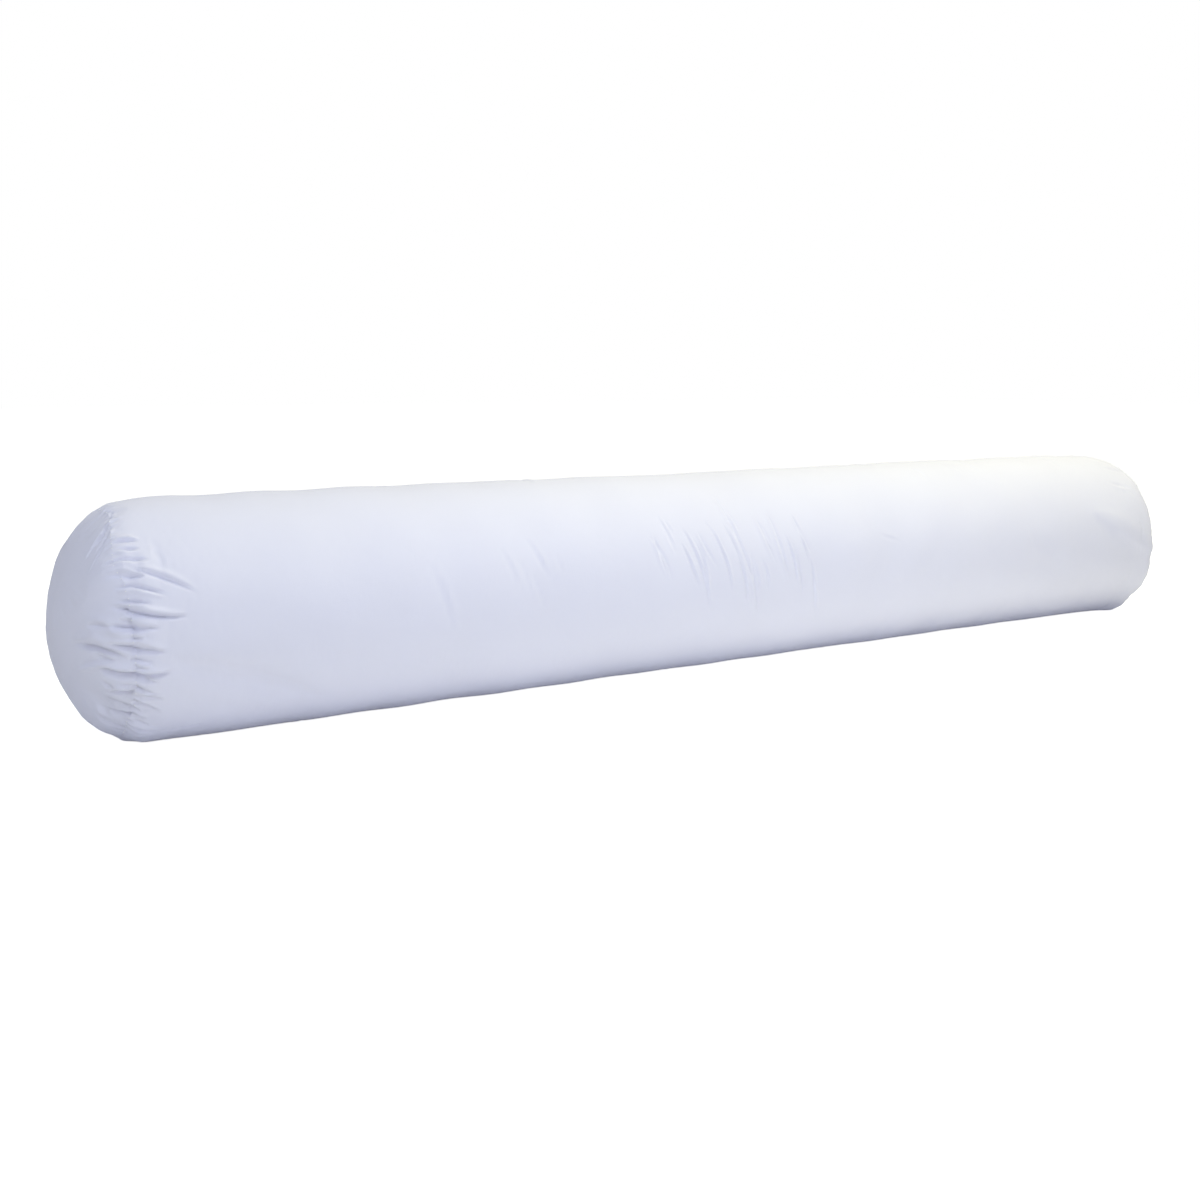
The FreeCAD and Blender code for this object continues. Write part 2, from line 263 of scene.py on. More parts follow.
def deselect_all():
    """Leaves edit mode with nothing selected."""
    if bpy.context.object and bpy.context.object.mode != "OBJECT":
        bpy.ops.object.mode_set(mode="OBJECT")
    bpy.ops.object.select_all(action="DESELECT")


def select_only(*objects):
    """Selects these objects alone, the first of them active."""
    deselect_all()
    for obj in objects:
        obj.select_set(True)
    bpy.context.view_layer.objects.active = objects[0]


def corners(obj):
    """Places of a piece's corners as an array."""
    places = np.empty(len(obj.data.vertices) * 3, dtype=np.float32)
    obj.data.vertices.foreach_get("co", places)
    return places.reshape(-1, 3).astype(float)


def move_corners(obj, places):
    """Puts a piece's corners at new places."""
    obj.data.vertices.foreach_set("co", places.astype(np.float32).ravel())
    obj.data.update()


def around(radius, turn):
    """Places across the bolster: turn is measured up from the side that faces -Y."""
    return -radius * np.cos(turn), AXIS_Z + radius * np.sin(turn)


def polar(places):
    """Radius and turn of each place about the bolster's axis."""
    down, up = -places[:, 1], places[:, 2] - AXIS_Z
    return np.hypot(down, up), np.arctan2(up, down)


def wrapped(turn):
    """The same turn between half a turn back and half a turn on."""
    return (turn + math.pi) % (2 * math.pi) - math.pi


def values(obj, attribute, kind):
    """One value for each item of a named attribute."""
    data = obj.data.attributes[attribute].data
    found = np.empty(len(data), dtype=kind)
    data.foreach_get("value", found)
    return found


def cloth_grid(name, rows, columns, panel, place):
    """A grid of cloth whose corners, and whose flat pattern in metres, come from place(u, v)."""
    deselect_all()
    bpy.ops.mesh.primitive_grid_add(x_subdivisions=rows, y_subdivisions=columns, size=1)
    obj = bpy.context.object
    obj.name = obj.data.name = name
    flat = corners(obj)
    spots, _ = place(flat[:, 0] + 0.5, flat[:, 1] + 0.5)
    layer = obj.data.uv_layers.active
    layer.name = "pattern"
    uv = np.empty(len(layer.data) * 2, dtype=np.float32)
    layer.data.foreach_get("uv", uv)
    uv = uv.reshape(-1, 2).astype(float)
    _, pattern = place(uv[:, 0], uv[:, 1])
    layer.data.foreach_set("uv", pattern.astype(np.float32).ravel())
    move_corners(obj, spots)
    mark = obj.data.attributes.new("panel", "INT", "FACE")
    mark.data.foreach_set("value", np.full(len(obj.data.polygons), panel, dtype=np.int32))
    return obj


def joined(name, *objects):
    """One piece from several."""
    select_only(*objects)
    bpy.ops.object.join()
    obj = bpy.context.object
    obj.name = obj.data.name = name
    return obj


def face_outward(obj, weld=None):
    """Turns a piece's faces outward, once its corners that lie within weld of each other are one."""
    select_only(obj)
    bpy.ops.object.mode_set(mode="EDIT")
    bpy.ops.mesh.select_all(action="SELECT")
    if weld:
        bpy.ops.mesh.remove_doubles(threshold=weld)
    bpy.ops.mesh.normals_make_consistent(inside=False)
    bpy.ops.object.mode_set(mode="OBJECT")
    return obj


def applied(obj, kind, **settings):
    """Adds a modifier, sets it and applies it."""
    select_only(obj)
    modifier = obj.modifiers.new(kind.title(), kind)
    for key, value in settings.items():
        setattr(modifier, key, value)
    bpy.ops.object.modifier_apply(modifier=modifier.name)


def finished(obj, slot, *nodes, fill=None):
    """Smooth shading, and the piece's place in the frame."""
    select_only(obj)
    bpy.ops.object.shade_smooth()
    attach(obj, "root")
    if nodes:
        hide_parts(*nodes)


# The cover

def ring_stops():
    """Distances of the cloth's rings from an end seam: fine where it puckers, then wider apart."""
    stops, step = [0.0], END_PITCH
    while stops[-1] < END_LENGTH:
        if stops[-1] > FINE_LENGTH:
            step = min(step * 1.06, WIDEST_END_PITCH)
        stops.append(stops[-1] + step)
    return np.array(stops) * END_LENGTH / stops[-1]


def on_round(across, up):
    """Share of the radius, and the turn, for places on a square whose edge becomes a rim."""
    reach = np.maximum(abs(across), abs(up))
    wide = abs(across) >= abs(up)
    with np.errstate(divide="ignore", invalid="ignore"):
        by_side = math.pi / 4 * up / across + np.where(across < 0, math.pi, 0)
        by_top = math.pi / 2 - math.pi / 4 * across / up + np.where(up < 0, math.pi, 0)
    return reach, np.nan_to_num(np.where(wide, by_side, by_top))


def tube_place(x, radius, turn):
    """Places on the tube, and the same places on its flat pattern."""
    y, z = around(radius, turn)
    return np.stack([x, y, z], 1), np.stack([x, turn * TUBE_R], 1)


def end_cloth(side, cloth):
    """The gathered end of the tube and its round end panel, before the stuffing fills them."""
    stops = ring_stops()
    rows = len(stops) - 1
    seam_r = cloth.seam_radius

    def tube(u, v):
        back = stops[np.rint(u * rows).astype(int)]
        radius = TUBE_R - (TUBE_R - seam_r) * np.clip(1 - back / SHOULDER, 0, 1) ** 2
        return tube_place(side * (SEAM_X - back), radius, v * 2 * math.pi + START_TURN)

    def round_end(u, v):
        share, turn = on_round(2 * u - 1, 2 * v - 1)
        y, z = around(seam_r * share, turn)
        rise = 0.9 * DOME_RISE * (1 - share ** 2)
        places = np.stack([side * (SEAM_X + rise), y, z], 1)
        return places, cloth.round_cut * np.stack([share * np.cos(turn), share * np.sin(turn)], 1)

    columns = cloth.columns
    return (cloth_grid("tube_end", rows, columns, 0, tube),
            cloth_grid("round_end", columns // 4, columns // 4, side, round_end))


def smooth_noise(rng, turn, waves):
    """A curve round the bolster that never repeats within one turn."""
    curve = sum(rng.normal() * np.cos(n * turn) + rng.normal() * np.sin(n * turn) for n in waves)
    return curve / math.sqrt(len(waves))


def seam_drift(turn):
    """How far the left end seam strays along the bolster, at each turn round it."""
    return sum(stray * MM * np.exp(-(wrapped(turn - math.radians(at)) / math.radians(half)) ** 2)
               for at, half, stray in SEAM_STRAYS)


def cloth_growth(rng, cloth, turn, back, share):
    """Share by which the cloth grows: its eased shoulders, and the rims of its round ends."""
    ease = 0.5 * (TUBE_R / cloth.seam_radius - 1)       # half of what the shoulder takes away
    uneven = 1 + 0.35 * smooth_noise(rng, turn, (2, 3, 5, 7, 11))
    near_top = np.exp(-(wrapped(turn - math.radians(72)) / math.radians(34)) ** 2)
    on_tube = back > -SAME_PLACE
    growth = np.where(
        on_tube,
        ease * np.clip(1 - back / SHOULDER, 0, 1) ** 2 + cloth.fullness * np.exp(-back / EASED),
        0.07 * np.clip(share, 0, 1) ** 4 + 0.01)
    return np.clip(growth * uneven, 0, 0.2) * (1 - 0.7 * near_top)      # smoother near the top


def swell(obj, pinned, growth):
    """Simulates growing cloth under pressure, held where it is pinned."""
    hold = obj.vertex_groups.new(name="hold")
    hold.add(np.flatnonzero(pinned).tolist(), 1.0, "REPLACE")
    most = float(growth.max())
    feed = obj.vertex_groups.new(name="feed")
    for corner, extra in enumerate(growth / most):
        feed.add([corner], 1 - float(extra), "REPLACE")
    modifier = obj.modifiers.new("Cloth", "CLOTH")
    fabric = modifier.settings
    fabric.quality = 4
    fabric.mass = 0.3
    fabric.tension_stiffness = fabric.compression_stiffness = 15
    fabric.shear_stiffness = 5
    fabric.bending_stiffness = 0.05
    fabric.tension_damping = fabric.compression_damping = fabric.shear_damping = 5
    fabric.vertex_group_mass = "hold"
    fabric.vertex_group_shrink = "feed"
    fabric.shrink_min, fabric.shrink_max = -most, 0
    fabric.use_pressure = True
    fabric.uniform_pressure_force = 15
    fabric.effector_weights.gravity = 0
    modifier.collision_settings.use_collision = False
    modifier.point_cache.frame_start, modifier.point_cache.frame_end = 1, SWELL_FRAMES
    for step in range(1, SWELL_FRAMES + 1):
        bpy.context.scene.frame_set(step)
    select_only(obj)
    bpy.ops.object.modifier_apply(modifier=modifier.name)
    bpy.context.scene.frame_set(1)
    obj.vertex_groups.clear()


def stuff_ends(obj, cloth):
    """Swells both ends over the stuffing, so that the eased cloth puckers at each seam."""
    rng = np.random.default_rng(cloth.seed)
    places = corners(obj)
    radius, turn = polar(places)
    side = np.sign(places[:, 0])
    back = SEAM_X - abs(places[:, 0])
    growth = cloth_growth(rng, cloth, turn, back, radius / cloth.seam_radius)
    on_seam = abs(back) < SAME_PLACE
    mark = obj.data.attributes.new("seam", "FLOAT", "POINT")
    mark.data.foreach_set("value", on_seam.astype(np.float32))

    wander = 0.8 * MM * smooth_noise(rng, turn, (5, 8, 13, 21))
    stray = np.where(side < 0, seam_drift(turn), 0) + wander
    places[:, 0] += np.exp(-abs(back) / EASED) * stray
    pinned = on_seam | (back > END_LENGTH - HELD_LENGTH)
    places += np.where(pinned, 0, 1)[:, None] * rng.normal(0, 0.1 * MM, places.shape)
    move_corners(obj, places)
    swell(obj, pinned, growth)
    moved = corners(obj) - places
    length = np.linalg.norm(moved, axis=1, keepdims=True)
    move_corners(obj, places + moved * np.minimum(1, SWELL_LIMIT / np.maximum(length, 1e-9)))


def body_cloth(cloth):
    """The middle of the tube, between the two simulated ends, finest where it is creased most."""
    half = SEAM_X - END_LENGTH
    knots = [-half, *CREASED, half]
    pitches = (BODY_PITCH, CREASED_PITCH, BODY_PITCH)
    stretches = [np.linspace(start, stop, round((stop - start) / pitch), endpoint=False)
                 for start, stop, pitch in zip(knots[:-1], knots[1:], pitches)]
    stops = np.concatenate([*stretches, [half]])
    rows = len(stops) - 1

    def place(u, v):
        x = stops[np.rint(u * rows).astype(int)]
        return tube_place(x, np.full_like(u, TUBE_R), v * 2 * math.pi + START_TURN)

    return cloth_grid("tube_middle", rows, cloth.columns, 0, place)


def fold_line(fold):
    """Places along a fold's bowed line, in metres and radians."""
    share = np.linspace(0, 1, 9)[:, None]
    start, end = np.array((fold.run, fold.turn)), np.array((fold.end_run, fold.end_turn))
    step = np.array((1, math.degrees(MM / TUBE_R)))     # one millimetre along and round the tube
    lean = (end - start) / step
    left = np.array((-lean[1], lean[0])) / np.hypot(*lean) * step
    line = start + share * (end - start) + 4 * share * (1 - share) * fold.bow * left
    return line * (MM, math.pi / 180)


def beside_line(line, run, turn, radius):
    """How far places lie to the left of a line, and at what share of its length."""
    nearest = np.full(len(run), np.inf)
    across, along = np.zeros(len(run)), np.zeros(len(run))
    lengths = np.hypot(np.diff(line[:, 0]), TUBE_R * np.diff(line[:, 1]))
    done = 0.0
    for (start_run, start_turn), (end_run, end_turn), length in zip(line[:-1], line[1:], lengths):
        step_x, step_y = end_run - start_run, (end_turn - start_turn) * radius
        x, y = run - start_run, (turn - start_turn) * radius
        share = np.clip((x * step_x + y * step_y) / (step_x * step_x + step_y * step_y), 0, 1)
        gap = np.hypot(x - share * step_x, y - share * step_y)
        closer = gap < nearest
        nearest = np.where(closer, gap, nearest)
        across = np.where(closer, np.sign(step_x * y - step_y * x) * gap, across)
        along = np.where(closer, (done + share * length) / lengths.sum(), along)
        done += length
    return across, along


def fold_height(run, turn, radius, folds):
    """Height that folds add to the cloth: each a valley with a small ridge along one side."""
    height = np.zeros_like(run)
    for fold in folds:
        line = fold_line(fold)
        depth, width = fold.depth * MM, fold.width * MM
        reach = 6 * width                   # past which a fold adds nothing
        turn_reach = reach / (60 * MM)      # the same on the narrow part of a round end
        near = ((run > line[:, 0].min() - reach) & (run < line[:, 0].max() + reach)
                & (turn > line[:, 1].min() - turn_reach) & (turn < line[:, 1].max() + turn_reach))
        if not near.any():
            continue
        across, along = beside_line(line, run[near], turn[near], radius[near])
        fullness = 0.6 if abs(depth) < 2 * MM else 1        # shallow creases keep their depth longer
        taper = np.sin(math.pi * np.clip(along, 0.01, 0.99)) ** fullness
        narrow = width * (0.5 + 0.5 * taper)
        valley = -np.exp(-(across / narrow) ** 2)
        ridge = np.exp(-((across - fold.side * 2 * narrow) / (1.4 * narrow)) ** 2)
        ridge *= 0.6 / (1 + abs(depth) / (16 * MM))
        height[near] += depth * taper * (valley + ridge)
    return np.where(height > 0, CREST_LIMIT * np.tanh(height / CREST_LIMIT), height)


def lumps(rng, run, turn):
    """Gentle unevenness of the stuffing under the cloth."""
    count = 28
    height = np.zeros_like(run)
    for _ in range(count):
        wave = 2 * math.pi / rng.uniform(*LUMP_LENGTHS)
        height += rng.normal() * np.cos(
            wave * run + rng.integers(-7, 8) * turn + rng.uniform(0, 2 * math.pi))
    return height / math.sqrt(count)


def hollow_height(run, turn):
    """Shallow hollows between lumps of stuffing, and a few swellings."""
    height = np.zeros_like(run)
    for at, degrees, long_half, turn_half, depth in HOLLOWS:
        u = (run - at * MM) / (long_half * MM)
        v = wrapped(turn - math.radians(degrees)) / math.radians(turn_half)
        height -= depth * MM * np.exp(-u ** 2 - v ** 2)
    return height


def long_seam_height(rng, run, turn):
    """The long seam's groove and the small puckers that its stitches pull."""
    across = wrapped(turn - LONG_SEAM_TURN) * TUBE_R
    ripple = sum(rng.uniform(0.5, 1) * np.cos(2 * math.pi * (run + 0.5 * abs(across)) / pitch
                                              + rng.uniform(0, 2 * math.pi) + np.sign(across) * 0.6)
                 for pitch in LONG_SEAM_RIPPLES)
    return (-2.6 * MM * np.exp(-(across / (1.8 * MM)) ** 2)
            - 1.0 * MM * np.exp(-(across / (9 * MM)) ** 2)
            + 0.22 * MM * ripple * np.exp(-abs(across) / (11 * MM)))


def end_seam_height(rng, back, turn, side):
    """Small uneven puckers between the stitches of an end seam."""
    ripple = np.zeros_like(turn)
    for end, height in ((-1, 1.0 * MM), (1, 0.25 * MM)):
        for waves in (79, 104):
            uneven = 0.4 + 0.5 * abs(smooth_noise(rng, turn, (1, 2, 3, 5)))
            phase = rng.uniform(0, 2 * math.pi)
            ripple += np.where(side == end, height * uneven * np.cos(waves * turn + phase), 0)
    return ripple * np.exp(-abs(back) / (5 * MM))


def fanned(rng, fan):
    """The folds of a fan, the longer ones deeper."""
    folds = []
    for start in np.linspace(fan.first, fan.last, fan.count):
        start = start + rng.uniform(-1, 1, 2) * fan.scatter
        length = rng.uniform(*fan.length)
        end = start + length * np.array(fan.heading) * rng.uniform(0.7, 1.3, 2)
        folds.append(Fold(*start, *end, 0.06 * length * rng.uniform(-1, 1),
                          np.interp(length, fan.length, fan.depth), fan.width, rng.choice((-1, 1))))
    return folds


def random_creases(rng):
    """Short leaning creases for the sides that face away, of the same kind as the ones in front."""
    creases = []
    long_seam = math.degrees(LONG_SEAM_TURN) % 360
    for _ in range(BACK_CREASES):
        at, turn = rng.uniform(-640, 640), rng.uniform(62, 320)
        if abs(turn - long_seam) < LONG_SEAM_MARGIN:
            continue
        lean, half = rng.uniform(-0.8, 0.8), rng.uniform(6, 17)
        creases.append(Fold(at - lean * half, turn - half, at + lean * half, turn + half,
                            rng.uniform(-5, 5), rng.uniform(0.6, 1.6), rng.uniform(1.8, 3.0),
                            rng.choice((-1, 1))))
    return creases


def shape_cover(obj, cloth):
    """Works the lumps, creases, folds and long seam into the cloth, and sets it down on the floor."""
    rng = np.random.default_rng(cloth.seed + 1)
    places = corners(obj)
    radius, turn = polar(places)
    side = np.sign(places[:, 0])
    back = SEAM_X - abs(places[:, 0])

    # Past an end seam, a place's run goes on along the round end's arc
    drift = np.where(places[:, 0] < 0, seam_drift(turn), 0)
    past = (abs(places[:, 0]) - SEAM_X - 2 * MM + drift > 0) & (radius < cloth.seam_radius + 4 * MM)
    share = np.clip(radius / cloth.seam_radius, 0, 1)
    arc = (1 - share) * cloth.seam_radius * (1 + 0.12 * (1 + share))
    run = np.where(past, side * (SEAM_X + arc), places[:, 0])

    fan_rng = np.random.default_rng(cloth.seed + 2)
    folds = MAIN_FOLDS + MAIN_CREASES + [fold for fan in FANS for fold in fanned(fan_rng, fan)]
    least_radius = np.maximum(radius, 20 * MM)      # folds keep a width at a round end's middle
    height = fold_height(run, wrapped(turn), least_radius, folds)
    behind = np.where(turn < 0, turn + 2 * math.pi, turn)
    height += fold_height(run, behind, least_radius, random_creases(rng))
    height += hollow_height(run, turn) + 0.5 * MM * lumps(rng, run, turn)
    height += end_seam_height(rng, SEAM_X - abs(run - drift), turn, side)
    height *= np.where(past, np.clip(share / 0.5, 0, 1), 1)
    height += np.where(past, 0, long_seam_height(rng, run, turn) * np.clip(back / (8 * MM), 0, 1))

    # The cloth moves at right angles to its surface, and at a slant beside an end seam
    near_seam = 0.5 * np.exp(-abs(abs(run - drift) - SEAM_X) / (12 * MM))
    slope = np.where(past, 2 * DOME_RISE * share / cloth.seam_radius, 1)
    lean = np.where(past, 1 - near_seam, near_seam)
    scale = height / np.hypot(slope, lean)
    outward = np.stack([side * lean, -np.cos(turn) * slope, np.sin(turn) * slope], 1)
    places += outward * scale[:, None]

    sag = np.where(side < 0, LEFT_SAG, RIGHT_SAG)
    places[:, 2] -= np.where(past, sag * (1 - share ** 2), 0)
    places[:, 2] = (places[:, 2] + np.sqrt(places[:, 2] ** 2 + FLOOR_BLEND ** 2)) / 2
    move_corners(obj, places)


def crease_seams(obj):
    """Keeps the end seams sharp when the cloth is subdivided."""
    seam = values(obj, "seam", np.float32) > 0.5
    ends = np.empty(len(obj.data.edges) * 2, dtype=np.int32)
    obj.data.edges.foreach_get("vertices", ends)
    sharp = seam[ends.reshape(-1, 2)].all(1)
    crease = obj.data.attributes.new("crease_edge", "FLOAT", "EDGE")
    crease.data.foreach_set("value", sharp.astype(np.float32))


def keep_seam_lines(obj):
    """Notes where both end seams run, for their stitches."""
    seam = values(obj, "seam", np.float32) > 0.99
    places = corners(obj)
    for side in (-1, 1):
        SEAM_LINES[side] = places[seam & (np.sign(places[:, 0]) == side)]


def split_panels(obj):
    """Cuts the sewn cover at its end seams into the tube and the two round ends."""
    pieces = {}
    for panel, name in ((-1, "left_end_cover"), (1, "right_end_cover")):
        select_only(obj)
        bpy.ops.object.mode_set(mode="EDIT")
        bpy.ops.mesh.select_mode(type="FACE")
        bpy.ops.mesh.select_all(action="DESELECT")
        bpy.ops.object.mode_set(mode="OBJECT")
        obj.data.polygons.foreach_set("select", values(obj, "panel", np.int32) == panel)
        bpy.ops.object.mode_set(mode="EDIT")
        bpy.ops.mesh.separate(type="SELECTED")
        bpy.ops.object.mode_set(mode="OBJECT")
        cut = next(o for o in bpy.context.selected_objects if o is not obj)
        cut.name = cut.data.name = name
        pieces[name] = cut
    obj.name = obj.data.name = "tube_cover"
    pieces["tube_cover"] = obj
    return pieces


def turn_in_edges(obj, cloth, inside):
    """Turns the raw edges at the end seams inward, inside being 1 for the tube and -1 for an end."""
    select_only(obj)
    bpy.ops.object.mode_set(mode="EDIT")
    bpy.ops.mesh.select_mode(type="EDGE")
    bpy.ops.mesh.select_all(action="DESELECT")
    bpy.ops.mesh.select_non_manifold(extend=False, use_wire=False, use_multi_face=False,
                                     use_non_contiguous=False, use_verts=False)
    bpy.ops.mesh.mark_sharp()
    bpy.ops.object.mode_set(mode="OBJECT")
    rim = np.empty(len(obj.data.vertices), dtype=bool)
    obj.data.vertices.foreach_get("select", rim)
    places = corners(obj)
    places[rim, 0] -= inside * np.sign(places[rim, 0]) * 0.03 * MM
    move_corners(obj, places)
    bpy.ops.object.mode_set(mode="EDIT")
    bpy.ops.mesh.extrude_region()
    bpy.ops.object.mode_set(mode="OBJECT")
    edge = np.empty(len(obj.data.vertices), dtype=bool)
    obj.data.vertices.foreach_get("select", edge)
    places = corners(obj)
    radius, turn = polar(places)
    y, z = around(radius - cloth.allowance, turn)
    places[edge, 1], places[edge, 2] = y[edge], z[edge]
    move_corners(obj, places)


def lip_sway(x):
    """Sideways wander of the hand-closed lip."""
    return 0.7 * MM * (np.sin(x * 61 + 0.4) + 0.6 * np.sin(x * 143 + 2.0))


def closing_lip():
    """The pinched lip of cloth along the filling opening: up one side, over the top and down."""
    top = LIP_STITCH_R - TUBE_R + LIP_PAST_STITCHES
    side = top - LIP_WALL + LIP_ROOT
    quarter = math.pi * LIP_WALL / 2
    stops = np.cumsum([0, side, quarter, quarter, side])
    stops /= stops[-1]
    end = OPENING_X + LIP_PAST_OPENING

    def place(u, v):
        x = (2 * u - 1) * end
        bend = np.interp(v, stops, (-math.pi / 2, -math.pi / 2, 0, math.pi / 2, math.pi / 2))
        down = np.where(v < stops[1], 1 - v / stops[1], 0)
        down = np.where(v > stops[3], (v - stops[3]) / (1 - stops[3]), down)
        share = np.clip((end - abs(x)) / (12 * MM), 0, 1)       # 1 but for the lip's low ends
        height = top - LIP_WALL + LIP_WALL * np.cos(bend) - down * side
        height = (height + LIP_ROOT) * (0.35 + 0.65 * share ** 0.5) - LIP_ROOT
        height += 0.25 * MM * np.sin(x * 210)
        offset = LIP_WALL * np.sin(bend) + lip_sway(x)
        y, z = around(TUBE_R + height, np.full_like(x, LONG_SEAM_TURN))
        y += offset * np.sin(LONG_SEAM_TURN)
        z += offset * np.cos(LONG_SEAM_TURN)
        return np.stack([x, y, z], 1), np.stack([x, v * 20 * MM], 1)

    return cloth_grid("lip", 96, 14, 0, place)


class SewCover(bpy.types.Operator):
    """Sews the tube and both round ends, lets them pucker, and splits them at the seams"""
    bl_idname = "bolster.sew_cover"
    bl_label = "Cover"

    def execute(self, context):
        cloth = context.scene.bolster_cloth
        ends = joined("cover_ends", *end_cloth(-1, cloth), *end_cloth(1, cloth))
        stuff_ends(face_outward(ends, weld=WELD), cloth)
        cover = face_outward(joined("cover", ends, body_cloth(cloth)), weld=WELD)
        crease_seams(cover)
        applied(cover, "SUBSURF", levels=1, render_levels=1)
        shape_cover(cover, cloth)
        keep_seam_lines(cover)
        pieces = split_panels(cover)
        for name, piece in pieces.items():
            turn_in_edges(piece, cloth, 1 if name == "tube_cover" else -1)
        pieces["tube_cover"] = joined("tube_cover", pieces["tube_cover"], closing_lip())
        material = cloth_material(cloth)
        stands_for = {"tube_cover": "tube_panel", "left_end_cover": "left_end_panel",
                      "right_end_cover": "right_end_panel"}
        for name, piece in pieces.items():
            piece.data.materials.clear()
            piece.data.materials.append(material)
            finished(piece, "cover_cloth", stands_for[name], fill=0.95)
        return {"FINISHED"}


class StuffBolster(bpy.types.Operator):
    """Fills the cover with one long lump of fibre"""
    bl_idname = "bolster.stuff"
    bl_label = "Stuffing"

    def execute(self, context):
        cloth = context.scene.bolster_cloth
        deselect_all()
        bpy.ops.mesh.primitive_uv_sphere_add(segments=96, ring_count=96, radius=1)
        obj = context.object
        obj.name = obj.data.name = "stuffing"
        places = corners(obj)
        rng = np.random.default_rng(cloth.seed + 2)
        pole = np.clip(places[:, 2], -1, 1)
        turn = np.arctan2(places[:, 1], -places[:, 0])
        latitude = np.arcsin(pole)
        half = SEAM_X + DOME_RISE - STUFFING_END_GAP
        x = half * (0.35 * np.sin(latitude) + 0.65 * latitude / (math.pi / 2))
        neck = np.clip((half - abs(x)) / STUFFING_ROUNDING, 0, 1)
        radius = (TUBE_R - STUFFING_GAP) * np.sqrt(1 - (1 - neck) ** 2)
        radius *= 1 + 0.02 * lumps(rng, x, turn)
        y, z = around(radius, turn)
        z = np.maximum(z, STUFFING_LIFT)
        move_corners(obj, np.stack([x, y, z], 1))
        applied(obj, "SUBSURF", levels=1, render_levels=1)
        face_outward(obj)
        obj.data.materials.append(fibre_material(cloth))
        finished(obj, "fibre_stuffing", "fibre_fill", fill=0.9)
        return {"FINISHED"}


def stitch_row(count, pitch, size):
    """Stitches in a straight line along X, starting at the origin."""
    deselect_all()
    bpy.ops.mesh.primitive_uv_sphere_add(
        segments=8, ring_count=6, radius=1, rotation=(0, math.pi / 2, 0))
    row = bpy.context.object
    bpy.ops.object.transform_apply(location=False, rotation=True, scale=False)
    move_corners(row, corners(row) * size)
    applied(row, "ARRAY", count=count, use_relative_offset=False, use_constant_offset=True,
            constant_offset_displace=(pitch, 0, 0))
    return row


def joined_rows(name, rows, material, node):
    """Rows of stitches as one piece that stands for a CAD node."""
    obj = face_outward(joined(name, *rows))
    obj.data.materials.append(material)
    finished(obj, "sewing_thread", node)


def seam_line(side):
    """Turn, distance along the bolster and radius of an end seam, corner by corner round it."""
    line = SEAM_LINES[side]
    radius, turn = polar(line)
    order = np.argsort(turn)
    return turn[order], line[order, 0], radius[order]


def ring_of_stitches(side, count, size, depth, offset):
    """Stitches laid round an end seam, depth below its line and offset to one side of it."""
    row = stitch_row(count, 1.0, size)
    places = corners(row)
    line_turn, line_x, line_radius = seam_line(side)
    stitch = np.rint(places[:, 0])
    turn = wrapped(stitch / count * 2 * math.pi + (places[:, 0] - stitch) / STITCH_R)
    x = np.interp(turn, line_turn, line_x, period=2 * math.pi)
    radius = np.interp(turn, line_turn, line_radius, period=2 * math.pi)
    y, z = around(radius - depth + places[:, 2], turn)
    move_corners(row, np.stack([x + offset + places[:, 1], y, z], 1))
    return row


class StitchSeams(bpy.types.Operator):
    """Sews the stitches across and along both end seams, and the overlocking inside them"""
    bl_idname = "bolster.stitch_seams"
    bl_label = "End seam stitches"

    def execute(self, context):
        cloth = context.scene.bolster_cloth
        material = thread_material(cloth)
        for side, end in ((-1, "left"), (1, "right")):
            rows = [ring_of_stitches(side, CROSS_STITCHES, CROSS_STITCH, CROSS_DEPTH, 0),
                    ring_of_stitches(side, RUNNING_STITCHES, RUNNING_STITCH, RUNNING_DEPTH, 0)]
            joined_rows(f"{end}_end_stitches", rows, material, f"{end}_end_seam_thread")
            depth = cloth.allowance - OVERLOCK_EDGE
            rows = [ring_of_stitches(side, OVERLOCK_LOOPS, OVERLOCK_LOOP, depth, offset)
                    for offset in (-OVERLOCK_SPREAD, OVERLOCK_SPREAD)]
            joined_rows(f"{end}_end_overlock", rows, material, f"{end}_end_seam_overlock")
        return {"FINISHED"}


class CloseOpening(bpy.types.Operator):
    """Sews the row of closing stitches along both sides of the lip"""
    bl_idname = "bolster.close_opening"
    bl_label = "Closing stitches"

    def execute(self, context):
        count = int(2 * OPENING_X / CLOSING_PITCH)
        rows = []
        for side in (-1, 1):
            row = stitch_row(count, CLOSING_PITCH, CLOSING_STITCH)
            places = corners(row)
            x = places[:, 0] - CLOSING_PITCH * (count - 1) / 2
            across = side * (LIP_WALL + 0.1 * MM) + places[:, 1] + lip_sway(x)
            wobble = 0.15 * MM * np.sin(x * 300)
            y, z = around(LIP_STITCH_R + places[:, 2] + wobble, LONG_SEAM_TURN)
            y += across * math.sin(LONG_SEAM_TURN)
            z += across * math.cos(LONG_SEAM_TURN)
            move_corners(row, np.stack([x, y, z], 1))
            rows.append(row)
        joined_rows("closing_stitch_rows", rows, thread_material(context.scene.bolster_cloth),
                    "closing_stitches")
        return {"FINISHED"}


class DressThreads(bpy.types.Operator):
    """Gives the seam stitching and the overlocked edges their thread finish"""
    bl_idname = "bolster.dress_threads"
    bl_label = "Seam threads"

    def execute(self, context):
        material = thread_material(context.scene.bolster_cloth)
        for name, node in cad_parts.items():
            if "thread" in name or "overlock" in name:
                node.data.materials.clear()
                node.data.materials.append(material)
        return {"FINISHED"}


# Finishes

